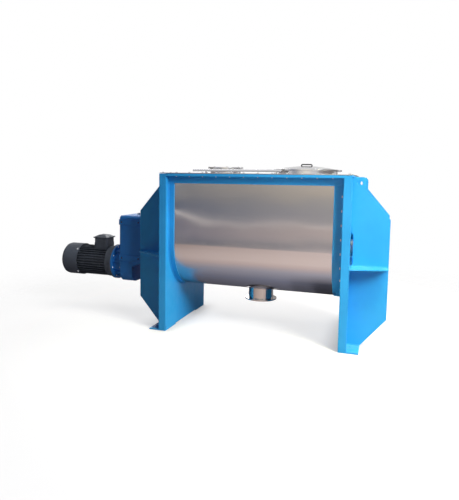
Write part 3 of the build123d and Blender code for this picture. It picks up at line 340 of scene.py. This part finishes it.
LOOKS = {
    "frame_blue": (enamel, dict(
        deep=(0.025, 0.330, 0.72), light=(0.033, 0.375, 0.79), worn=(0.13, 0.45, 0.75),
        gloss=0.30, grain=520.0, grain_depth=0.0003,
    )),
    "drive_blue": (enamel, dict(
        deep=(0.018, 0.18, 0.52), light=(0.026, 0.21, 0.60), worn=(0.12, 0.27, 0.50),
        gloss=0.38, grain=260.0, grain_depth=0.0006,
    )),
    "stainless": (steel, dict(
        dull=(0.59, 0.585, 0.60), bright=(0.61, 0.605, 0.62), rough=(0.145, 0.165),
        brush=(0.03, 4, 4), tint=(0.60, 0.585, 0.58), waves=0.005,
    )),
    "pipe_steel": (steel, dict(
        dull=(0.45, 0.435, 0.43), bright=(0.51, 0.495, 0.49), rough=(0.11, 0.17),
        brush=(4, 4, 0.05), tint=(0.46, 0.44, 0.43),
    )),
    "polished_steel": (steel, dict(
        dull=(0.60, 0.60, 0.62), bright=(0.70, 0.70, 0.72), rough=(0.07, 0.13),
        brush=(0.05, 3, 3),
    )),
    "machined_steel": (steel, dict(
        dull=(0.38, 0.38, 0.39), bright=(0.52, 0.52, 0.53), rough=(0.22, 0.36),
        brush=(5, 0.4, 0.4), tint=(0.34, 0.31, 0.27),
    )),
    "zinc_fasteners": (steel, dict(
        dull=(0.54, 0.55, 0.57), bright=(0.68, 0.69, 0.71), rough=(0.26, 0.40),
        brush=(2, 2, 2), tint=(0.55, 0.53, 0.48),
    )),
    "bearing_iron": (casting, dict(
        dark=(0.055, 0.062, 0.066), light=(0.085, 0.094, 0.1), rough=(0.42, 0.6),
        grain_depth=0.0009, worn=(0.2, 0.2, 0.2),
    )),
    "core_iron": (laminations, dict(
        dark=(0.055, 0.052, 0.05), light=(0.12, 0.115, 0.11), rough=(0.4, 0.6),
    )),
    "motor_charcoal": (casting, dict(
        dark=(0.058, 0.067, 0.086), light=(0.100, 0.113, 0.138), rough=(0.40, 0.56),
        grain_depth=0.0007, worn=(0.15, 0.155, 0.16),
    )),
    "gasket_rubber": (moulded, dict(
        dark=(0.012, 0.012, 0.013), light=(0.026, 0.026, 0.028), rough=(0.6, 0.8),
        grain=700.0, grain_depth=0.0003,
    )),
    "black_plastic": (moulded, dict(
        dark=(0.010, 0.010, 0.011), light=(0.022, 0.022, 0.024), rough=(0.45, 0.62),
        grain=900.0, grain_depth=0.0002,
    )),
    "handle_black": (moulded, dict(
        dark=(0.011, 0.011, 0.013), light=(0.028, 0.028, 0.031), rough=(0.28, 0.42),
        grain=600.0, grain_depth=0.0002,
    )),
}
MATERIALS = {name: make(name, **options) for name, (make, options) in LOOKS.items()}

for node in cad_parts.values():
    for index, old in enumerate(node.data.materials):
        node.data.materials[index] = MATERIALS[old.name.split(".")[0]]
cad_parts["discharge_nozzle"].data.materials[0] = MATERIALS["pipe_steel"]

# Small details

TURNED_SIDES = 24
HEX_SIDES = 6

# Outlines of heads as (radius, height), in radii of their shank
HEX_WASHER = ((2.1, 0.0), (2.1, 0.24), (1.95, 0.34))
HEX_HEAD = ((1.75, 0.34), (1.75, 1.35), (1.5, 1.6), (1.1, 1.64))
CAP_HEAD = ((1.7, 0.0), (1.7, 0.9), (1.5, 1.15))
CAP_SOCKET = ((1.35, 1.15), (1.3, 1.3), (0.85, 1.3), (0.8, 1.16))

ADAPTER_BOLTS = 8            # on each flange
ADAPTER_BOLT_R = 0.0042
COWL_SCREWS = 4
COWL_SCREW_R = 0.006
BOX_SCREW_R = 0.0024
SEAL_SCREWS = 6              # on each flange
SEAL_SCREW_R = 0.005

# Grease nipples as (radius, height), in metres
NIPPLE_SINK = 0.002          # into the top of the bearing
NIPPLE_HEX = ((0.0075, 0.0), (0.0075, 0.008))
NIPPLE_HEAD = (
    (0.0045, 0.008), (0.0045, 0.014), (0.0032, 0.016),
    (0.0032, 0.018), (0.0044, 0.0205), (0.0026, 0.0235),
)

# Lining of a tapped hole, in metres
LINING_SIDES = 20
LINING_GAP = 0.0002          # to the wall and the floor of the hole
LINING_RIM = 0.0004          # below the mouth
THREAD_STEPS = 8             # from crest to root and back, over the depth
THREAD_CREST = 0.0016        # in from the wall
THREAD_ROOT = 0.0007
THREAD_START = 0.0006        # below the mouth
THREAD_SHORT = 0.0016        # shorter than the hole

# Weld beads
BEAD_PROFILE = ((0.0, 1.0), (0.30, 0.86), (0.62, 0.62), (0.86, 0.30), (1.0, 0.0))  # along both walls
BEAD_PASS = 4                # steps from one ripple to the next
BEAD_RIPPLE = 0.14
BEAD_UNEVEN = 0.05
BEAD_UNEVEN_TURN = 1.7
FEWEST_STEPS = 8
STRAIGHT_STEP = 0.004
RING_STEP = 0.006
NECK_STEP = 0.005
FRAME_BEAD = 0.007
STAINLESS_BEAD = 0.005


def placed(name, mesh, material):
    """Object in the scene, from a mesh that is finished."""
    data = bpy.data.meshes.new(name)
    mesh.to_mesh(data)
    mesh.free()
    data.materials.append(material)
    made = bpy.data.objects.new(name, data)
    bpy.context.scene.collection.objects.link(made)
    return made


def piece(name, mesh, slot, body="frame"):
    """Finish a mesh: object, material, body."""
    bmesh.ops.recalc_face_normals(mesh, faces=mesh.faces)
    made = placed(name, mesh, MATERIALS[slot])
    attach(made, body)


def frame_at(place, axis):
    """Matrix that takes local Z to the axis and the origin to the place."""
    turn = Vector(axis).to_track_quat("Z", "Y").to_matrix().to_4x4()
    return Matrix.Translation(Vector(place)) @ turn


def on_circle(count, radius, start=0.0):
    """Places round a circle, as pairs."""
    angles = [start + 2 * pi * i / count for i in range(count)]
    return [(radius * cos(a), radius * sin(a)) for a in angles]


def skin(mesh, loops, smooth=False):
    """Join rings of as many vertices by faces, and close both ends."""
    count = len(loops[0])
    for lower, upper in zip(loops, loops[1:]):
        for i in range(count):
            j = (i + 1) % count
            mesh.faces.new((lower[i], lower[j], upper[j], upper[i])).smooth = smooth
    mesh.faces.new(loops[0][::-1])
    mesh.faces.new(loops[-1])


def lathe(mesh, where, outline, sides=TURNED_SIDES, scale=1.0):
    """Solid round local Z from (radius, height) pairs."""
    loops = []
    for radius, height in outline:
        circle = on_circle(sides, scale * radius)
        loops.append([mesh.verts.new(where @ Vector((x, y, scale * height))) for x, y in circle])
    skin(mesh, loops)


def hex_bolt(mesh, where, radius):
    """Washer and hexagon head with its chamfer, on the local XY plane."""
    lathe(mesh, where, HEX_WASHER, scale=radius)
    lathe(mesh, where, HEX_HEAD, HEX_SIDES, radius)


def cap_screw(mesh, where, radius):
    """Round head with a rolled edge and a hexagon socket."""
    lathe(mesh, where, CAP_HEAD, scale=radius)
    lathe(mesh, where, CAP_SOCKET, HEX_SIDES, radius)


def tapped_hole(mesh, where, radius, depth):
    """Threaded lining of a blind hole whose mouth is on the local XY plane."""
    wall = radius - LINING_GAP
    outline = [(wall, LINING_GAP - depth), (wall, -LINING_RIM)]
    for i in range(THREAD_STEPS + 1):
        inward = THREAD_ROOT if i % 2 else THREAD_CREST
        outline.append((radius - inward, -THREAD_START - (depth - THREAD_SHORT) * i / THREAD_STEPS))
    lathe(mesh, where, outline, LINING_SIDES)


def fasteners(name, head, places, radius):
    """Several heads of one kind, each at (place, axis)."""
    mesh = bmesh.new()
    for place, axis in places:
        head(mesh, frame_at(place, axis), radius)
    piece(name, mesh, "zinc_fasteners")


def bead(mesh, path, size):
    """Weld bead on a path of (corner, first wall, second wall), with the ripple of its passes."""
    loops = []
    for i, (corner, first, second) in enumerate(path):
        uneven = BEAD_UNEVEN * sin(BEAD_UNEVEN_TURN * i)
        swell = size * (1.0 + BEAD_RIPPLE * sin(2 * pi * i / BEAD_PASS) + uneven)
        loop = [mesh.verts.new(corner)]
        for on_first, on_second in BEAD_PROFILE:
            offset = on_first * Vector(first) + on_second * Vector(second)
            loop.append(mesh.verts.new(Vector(corner) + swell * offset))
        loops.append(loop)
    skin(mesh, loops, smooth=True)


def straight(start, end, first, second):
    """Bead path on a straight corner."""
    start = Vector(start)
    end = Vector(end)
    steps = max(FEWEST_STEPS, int((end - start).length / STRAIGHT_STEP))
    return [(start.lerp(end, i / steps), first, second) for i in range(steps + 1)]


def half_ring(x, radius, along):
    """Bead path round the lower half of a ring about the shaft, in its corner with a face across X."""
    steps = int(pi * radius / RING_STEP)
    path = []
    for i in range(steps + 1):
        y = cos(pi + pi * i / steps)
        z = sin(pi + pi * i / steps)
        path.append(((x, radius * y, SHAFT_Z + radius * z), (along, 0, 0), (0, y, z)))
    return path


def neck_seam(x, radius, height, up, shell_r=0.0):
    """Bead path round an upright neck, on a flat face or under a shell with its axis at the height."""
    steps = int(2 * pi * radius / NECK_STEP)
    path = []
    for i in range(steps + 1):
        outward = (cos(2 * pi * i / steps), sin(2 * pi * i / steps), 0)
        y = radius * outward[1]
        drop = sqrt(shell_r ** 2 - y ** 2) if shell_r else 0.0
        path.append(((x + radius * outward[0], y, height - drop), outward, (0, 0, up)))
    return path


def seam(name, paths, size, slot):
    """One piece from several weld beads."""
    mesh = bmesh.new()
    for path in paths:
        bead(mesh, path, size)
    piece(name, mesh, slot)


frame_seams = []
for sx in (-1, 1):
    for sy in (-1, 1):
        for y, away in ((GUSSET_Y, sy), (GUSSET_BACK, -sy)):
            for low, high in ((PLATE, NOTCH_LOW - PLATE), (NOTCH_HIGH, FRAME_TOP)):
                start = (sx * WEB_X, sy * y, low)
                end = (sx * WEB_X, sy * y, high)
                frame_seams.append(straight(start, end, (sx, 0, 0), (0, away, 0)))
        for z, up in ((RIB_Z, 1), (RIB_Z - PLATE, -1)):
            start = (sx * EDGE_X, sy * GUSSET_Y, z)
            end = (sx * GUSSET_X, sy * GUSSET_Y, z)
            frame_seams.append(straight(start, end, (0, sy, 0), (0, 0, up)))
        start = (sx * WEB_X, sy * GUSSET_Y, PLATE)
        end = (sx * FOOT_END, sy * GUSSET_Y, PLATE)
        frame_seams.append(straight(start, end, (0, sy, 0), (0, 0, 1)))
frame_seams.append(half_ring(-PANEL_X, RING_R, 1))
for sy in (-1, 1):
    start = (-PANEL_X, sy * RING_R, SHAFT_Z)
    end = (-PANEL_X, sy * RING_R, RING_TOP)
    frame_seams.append(straight(start, end, (1, 0, 0), (0, sy, 0)))
seam("frame_weld_seams", frame_seams, FRAME_BEAD, "frame_blue")

stainless_seams = [
    neck_seam(0.0, NECK_R, SHAFT_Z, -1, SHELL_R),
    neck_seam(COLLAR_X, COLLAR_R, COVER_Z, 1),
    neck_seam(PORT_X, PORT_R, COVER_Z, 1),
    neck_seam(PORT_X, PORT_R, COVER_Z + PORT_NECK, -1),
]
seam("stainless_weld_seams", stainless_seams, STAINLESS_BEAD, "stainless")

adapter_bolts = []
for x, out, circle in ADAPTER_FACES:
    for y, z in on_circle(ADAPTER_BOLTS, circle, pi - ADAPTER_RIB_TURN - pi / ADAPTER_BOLTS):
        adapter_bolts.append(((x, y, MOTOR_Z + z), (out, 0, 0)))
fasteners("adapter_bolts", hex_bolt, adapter_bolts, ADAPTER_BOLT_R)

pad_threads = bmesh.new()
for sy in (-1, 1):
    for x in PAD_HOLE_X:
        for z in PAD_HOLE_Z:
            mouth = frame_at((x, sy * PAD_FACE, z), (0, sy, 0))
            tapped_hole(pad_threads, mouth, PAD_HOLE_R, PAD_HOLE_DEPTH)
piece("gearbox_pad_threads", pad_threads, "bearing_iron")

cowl_screws = []
for y, z in on_circle(COWL_SCREWS, 1.0, pi / COWL_SCREWS):
    cowl_screws.append(((COWL_SCREW_X, COWL_R * y, MOTOR_Z + COWL_R * z), (0, y, z)))
fasteners("cowl_screws", cap_screw, cowl_screws, COWL_SCREW_R)

box_screws = []
for sx in (-1, 1):
    for sy in (-1, 1):
        box_screws.append(((BOX_X + sx * BOX_HALF[0], sy * BOX_HALF[1], BOX_TOP), (0, 0, 1)))
fasteners("terminal_lid_screws", cap_screw, box_screws, BOX_SCREW_R)

seal_screws = []
for sx in (-1, 1):
    for y, z in on_circle(SEAL_SCREWS, SEAL_CIRCLE, pi / SEAL_SCREWS):
        seal_screws.append(((sx * SEAL_FACE, y, SHAFT_Z + z), (sx, 0, 0)))
fasteners("seal_flange_screws", cap_screw, seal_screws, SEAL_SCREW_R)

nipples = bmesh.new()
for sx in (-1, 1):
    foot = Matrix.Translation((sx * BEARING_X, 0, BEARING_TOP - NIPPLE_SINK))
    lathe(nipples, foot, NIPPLE_HEX, HEX_SIDES)
    lathe(nipples, foot, NIPPLE_HEAD)
piece("grease_nipples", nipples, "zinc_fasteners")

# Camera and stage


def turned(axis, angle):
    """Rotation about one axis by an angle. Rotation as the camera fit writes it."""
    across = cos(angle)
    up = sin(angle)
    rows = {
        "X": ((1, 0, 0), (0, across, -up), (0, up, across)),
        "Y": ((across, 0, up), (0, 1, 0), (-up, 0, across)),
        "Z": ((across, up, 0), (-up, across, 0), (0, 0, 1)),
    }
    return Matrix(rows[axis])


view = turned("Y", ROLL) @ turned("X", PITCH) @ turned("Z", YAW)
axes = Matrix((view[0], view[2], -view[1])).transposed().to_4x4()
camera_data = bpy.data.cameras.new("camera")
camera_data.sensor_width = SENSOR
camera_data.lens = FOCAL_PX * SENSOR / max(IMAGE)
camera_data.shift_x = (IMAGE[0] / 2 - CENTRE_PX[0]) / max(IMAGE)
camera_data.shift_y = -(IMAGE[1] / 2 - CENTRE_PX[1]) / max(IMAGE)
camera_data.clip_end = CLIP_END
camera = bpy.data.objects.new("camera", camera_data)
camera.matrix_world = Matrix.Translation(CAMERA_PLACE) @ axes
bpy.context.scene.collection.objects.link(camera)
bpy.context.scene.camera = camera

AMBIENT = 0.05
AMBIENT_COLOUR = (0.46, 0.64, 1.0)
FLOOR_R = 4.8
FLOOR_FADE = 1.7             # from here to its rim the floor fades
FLOOR_SIDES = 96
FLOOR_COLOUR = (0.46, 0.44, 0.42)
FLOOR_GLOW = 0.68
FLOOR_SHADE_REACH = 0.22          # reach of the painted shade that darkens the floor's glow in the corners under the machine

world = bpy.data.worlds.new("studio")
world.use_nodes = True
bpy.context.scene.world = world
studio = Nodes(world.node_tree)
white = studio.node("ShaderNodeBackground", Color=(1, 1, 1, 1), Strength=1.0)
soft = studio.node("ShaderNodeBackground", Color=(*AMBIENT_COLOUR, 1), Strength=AMBIENT)
backdrop = studio.mix(studio.seen_by_eye(), soft.outputs[0], white.outputs[0])
studio.feed(studio.tree.nodes["World Output"].inputs["Surface"], backdrop)


def stage_floor():
    """Pale round floor that takes the shadow, with painted shade where its glow darkens near the
    machine, and fades into the white background at its rim.
    """
    mesh = bmesh.new()
    bmesh.ops.create_circle(mesh, cap_ends=True, segments=FLOOR_SIDES, radius=FLOOR_R)
    look = Finish("floor", Base_Color=(*FLOOR_COLOUR, 1), Roughness=0.9, Specular_IOR_Level=0.1)
    # Painted shade: ambient occlusion darkens the floor's glow in the corners under the machine
    painted_contact_shade = look.node("ShaderNodeAmbientOcclusion", Distance=FLOOR_SHADE_REACH)
    glow = look.times(look.times(look.seen_by_eye(), FLOOR_GLOW), painted_contact_shade.outputs["AO"])
    light = look.node("ShaderNodeEmission", Strength=glow)
    both = look.in_order("ShaderNodeAddShader", look.shader.outputs[0], light.outputs[0])
    far = look.in_order("ShaderNodeVectorMath", look.place, operation="LENGTH")
    fade = look.node(
        "ShaderNodeMapRange", Value=far.outputs["Value"], From_Min=FLOOR_FADE, From_Max=FLOOR_R,
    )
    fade.interpolation_type = "SMOOTHSTEP"
    clear = look.node("ShaderNodeBsdfTransparent")
    look.show(look.mix(fade.outputs["Result"], both.outputs[0], clear.outputs[0]))
    floor = placed("floor", mesh, look.material)


stage_floor()

UPRIGHT = (pi / 2, 0, 0)
FLAT = (0, 0, 0)
PLAIN = (1, 1, 1)
TINT_FROM = 0.29             # shares of a card's width, between which its tint changes
TINT_TO = 0.72
HALF_METRE = 0.5             # a card is a square of one metre, scaled to its size


def painted_reflection_card(name, place, turns, size, tones, left=PLAIN, right=PLAIN):
    """Glowing card seen only in reflections, a painted reflection: tones up the card, tinted from its
    left to its right.
    """
    mesh = bmesh.new()
    bmesh.ops.create_grid(mesh, x_segments=1, y_segments=1, size=HALF_METRE)
    look = Finish(name)
    parts = look.node("ShaderNodeSeparateXYZ", Vector=look.coordinates.outputs["Generated"])
    upward = look.ramp(parts.outputs["Y"], tones)
    across = look.ramp(parts.outputs["X"], ((TINT_FROM, left), (TINT_TO, right)))
    tinted = look.in_order("ShaderNodeVectorMath", upward, across, operation="MULTIPLY")
    look.show(look.node("ShaderNodeEmission", Color=tinted.outputs["Vector"]).outputs[0])
    card = placed(name, mesh, look.material)
    turn = Euler(turns).to_matrix().to_4x4()
    card.matrix_world = Matrix.Translation(place) @ turn @ Matrix.Diagonal((*size, 1, 1))
    for kind in ("camera", "diffuse", "transmission", "volume_scatter", "shadow"):
        setattr(card, "visible_" + kind, False)


# Cards in front of and behind the machine, mats on the floor before them, and flags at both ends:
# glowing cards seen only in reflections, which paint the reflections in the steel
CARD_X = -1.6
CARD_Y = -6.3
CARD_WIDTH = 9.0
CARD_HEIGHT = 3.0
CARD_LOW = 0.02
# Painted reflection in the front of the trough, from the floor up, with a thin painted highlight; darker
# to the left, brighter to the right
CARD_TONES = (
    (0.00, (0.17, 0.18, 0.21)), (0.028, (0.25, 0.26, 0.30)), (0.05, (0.46, 0.43, 0.44)),
    (0.10, (0.53, 0.46, 0.46)), (0.18, (0.50, 0.44, 0.435)), (0.196, (0.95, 0.88, 0.84)),
    (0.212, (0.37, 0.36, 0.39)), (0.29, (0.34, 0.345, 0.38)), (0.36, (0.40, 0.39, 0.39)),
    (0.42, (0.52, 0.475, 0.42)), (0.50, (0.56, 0.52, 0.46)), (0.57, (0.92, 0.92, 0.90)),
)
CARD_LEFT = (0.40, 0.445, 0.56)
CARD_RIGHT = (1.42, 1.35, 1.24)

# Painted highlight: a bright strip before the card's left half, seen in the steel as a bright line
STRIP_X = -3.2
STRIP_Y = CARD_Y + 0.02
STRIP_Z = 0.606
STRIP_WIDTH = 3.0
STRIP_HEIGHT = 0.060
STRIP_TONES = ((0.0, (0.9, 0.85, 0.8)), (0.5, (1.0, 0.95, 0.90)), (1.0, (0.9, 0.85, 0.8)))
STRIP_LEFT = (2.30, 2.20, 2.02)
STRIP_RIGHT = (0.66, 0.63, 0.62)

MAT_Z = 0.004
MAT_DEPTH = 7.5
# Painted reflection of the floor: warm away from the machine, and dark at the end under it, painted
# shade
MAT_TONES = (
    (0.00, (0.78, 0.64, 0.59)), (0.66, (0.82, 0.67, 0.61)), (0.70, (0.70, 0.56, 0.52)),
    (0.745, (0.42, 0.40, 0.45)), (0.80, (0.21, 0.215, 0.28)), (0.825, (0.165, 0.165, 0.21)),
    (0.87, (0.11, 0.11, 0.135)), (1.00, (0.10, 0.10, 0.12)),
)
MAT_LEFT = (0.40, 0.37, 0.36)
MAT_RIGHT = 1.20

# Painted shade: darker mats over the near end of the mat, under the right of the trough
SHADE_SHARE = 0.745          # of the mat's depth, where they begin
SHADE_END = 0.85
SHADE_Z = 0.006
SHADE_LIFT = 0.002           # from one to the next
SHADES = (("near_shade", 0.28, 0.66), ("far_shade", 0.52, 0.30))  # name, left edge, tone against the mat

# Painted reflections in the steel seen from behind: a card going up from grey to white, and a mat whose
# end under the machine is painted shade
BACK_HEIGHT = 5.2
BACK_LOW = 0.3
BACK_TONES = (
    (0.00, (0.30, 0.29, 0.30)), (0.16, (0.34, 0.32, 0.32)), (0.30, (0.42, 0.41, 0.41)),
    (0.42, (0.62, 0.62, 0.62)), (0.56, (0.95, 0.95, 0.95)), (1.00, (0.75, 0.75, 0.76)),
)
BACK_MAT_Y = 1.25
BACK_MAT_TONES = (
    (0.00, (0.36, 0.35, 0.36)), (0.30, (0.46, 0.44, 0.44)), (0.45, (0.38, 0.37, 0.39)),
    (0.52, (0.62, 0.57, 0.54)), (0.86, (0.70, 0.62, 0.58)), (0.93, (0.44, 0.41, 0.42)),
    (1.00, (0.20, 0.20, 0.24)),
)

# Painted reflections: dark cards seen in the steel at both ends, which block no light
FLAGS = (("right_flag", 4.6), ("left_flag", -5.6))
FLAG_WIDTH = 6.4
FLAG_LOW = 0.9
FLAG_HIGH = 3.4
FLAG_TONES = ((0.0, (0.22, 0.21, 0.21)), (1.0, (0.42, 0.41, 0.40)))

painted_reflection_card(
    "card", (CARD_X, CARD_Y, CARD_HEIGHT / 2 + CARD_LOW), UPRIGHT, (CARD_WIDTH, CARD_HEIGHT),
    CARD_TONES, CARD_LEFT, CARD_RIGHT,
)
painted_reflection_card(
    "strip", (STRIP_X, STRIP_Y, STRIP_Z), UPRIGHT, (STRIP_WIDTH, STRIP_HEIGHT),
    STRIP_TONES, STRIP_LEFT, STRIP_RIGHT,
)
painted_reflection_card(
    "mat", (CARD_X, CARD_Y + MAT_DEPTH / 2, MAT_Z), FLAT, (CARD_WIDTH, MAT_DEPTH),
    MAT_TONES, MAT_LEFT, (MAT_RIGHT,) * 3,
)
for level, (name, left_edge, dark) in enumerate(SHADES):
    shade_tones = []
    for share, tone in MAT_TONES:
        if share >= SHADE_SHARE:
            part = MAT_RIGHT * (dark if share > SHADE_SHARE else 1.0)
            position = (share - SHADE_SHARE) / (1 - SHADE_SHARE)
            shade_tones.append((position, [part * channel for channel in tone]))
    shade_y = CARD_Y + MAT_DEPTH * (1 + SHADE_SHARE) / 2
    painted_reflection_card(
        name, ((left_edge + SHADE_END) / 2, shade_y, SHADE_Z + SHADE_LIFT * level), FLAT,
        (SHADE_END - left_edge, MAT_DEPTH * (1 - SHADE_SHARE)), shade_tones,
    )
painted_reflection_card(
    "back_card", (0, -CARD_Y, BACK_HEIGHT / 2 + BACK_LOW), UPRIGHT,
    (CARD_WIDTH, BACK_HEIGHT), BACK_TONES,
)
painted_reflection_card(
    "back_mat", (0, (BACK_MAT_Y - CARD_Y) / 2, MAT_Z), (0, 0, pi),
    (CARD_WIDTH, -CARD_Y - BACK_MAT_Y), BACK_MAT_TONES,
)
for name, x in FLAGS:
    painted_reflection_card(
        name, (x, 0, (FLAG_LOW + FLAG_HIGH) / 2), (pi / 2, 0, pi / 2),
        (FLAG_WIDTH, FLAG_HIGH - FLAG_LOW), FLAG_TONES,
    )


def lamp(name, place, target, size, watts, colour=PLAIN, spread=180, mirrored=True):
    """Soft rectangular lamp aimed at a point; one that isn't mirrored leaves no glare on the steel."""
    data = bpy.data.lights.new(name, "AREA")
    data.shape = "RECTANGLE"
    data.size, data.size_y = size
    data.energy = watts
    data.spread = radians(spread)
    data.color = colour
    made = bpy.data.objects.new(name, data)
    bpy.context.scene.collection.objects.link(made)
    aim = (Vector(target) - Vector(place)).to_track_quat("-Z", "Y").to_matrix().to_4x4()
    made.matrix_world = Matrix.Translation(place) @ aim
    made.visible_camera = False
    made.visible_glossy = mirrored


lamp(
    "key_lamp", place=(5.4, -3.6, 4.5), target=(0.75, -0.4, 0.7), size=(2.6, 2.6),
    watts=235, colour=(0.90, 0.94, 1.0), spread=120,
)
lamp(
    "fill_lamp", place=(-3.8, -5.2, 3.4), target=(-0.6, 0.0, 0.7), size=(2.4, 2.4),
    watts=3.5, colour=(0.72, 0.84, 1.0),
)
lamp(
    "top_lamp", place=(0.3, 0.4, 5.2), target=(0.3, 0.0, 1.0), size=(4.0, 2.4),
    watts=105, mirrored=False,
)
lamp(
    "accent_lamp", place=(2.5, -1.5, 4.4), target=(1.05, -0.5, 0.2), size=(1.2, 1.2),
    watts=25, colour=(1.0, 1.0, 0.62), spread=60,
)
lamp(
    "low_lamp", place=(3.0, -2.4, 3.0), target=(1.1, -0.4, 0.7), size=(1.2, 1.2),
    watts=3.5, colour=(1.0, 1.0, 0.85), spread=50,
)
lamp(
    "front_lamp", place=(0.5, -4.6, 1.1), target=(0.4, -0.5, 1.45), size=(1.4, 0.8),
    watts=1.4, colour=(0.84, 0.90, 1.0), spread=38, mirrored=False,
)
lamp(
    "back_lamp", place=(-2.5, 5.0, 3.0), target=(0.0, 0.0, 0.9), size=(2.6, 2.6),
    watts=120,
)

bpy.context.scene.view_settings.view_transform = "Standard"
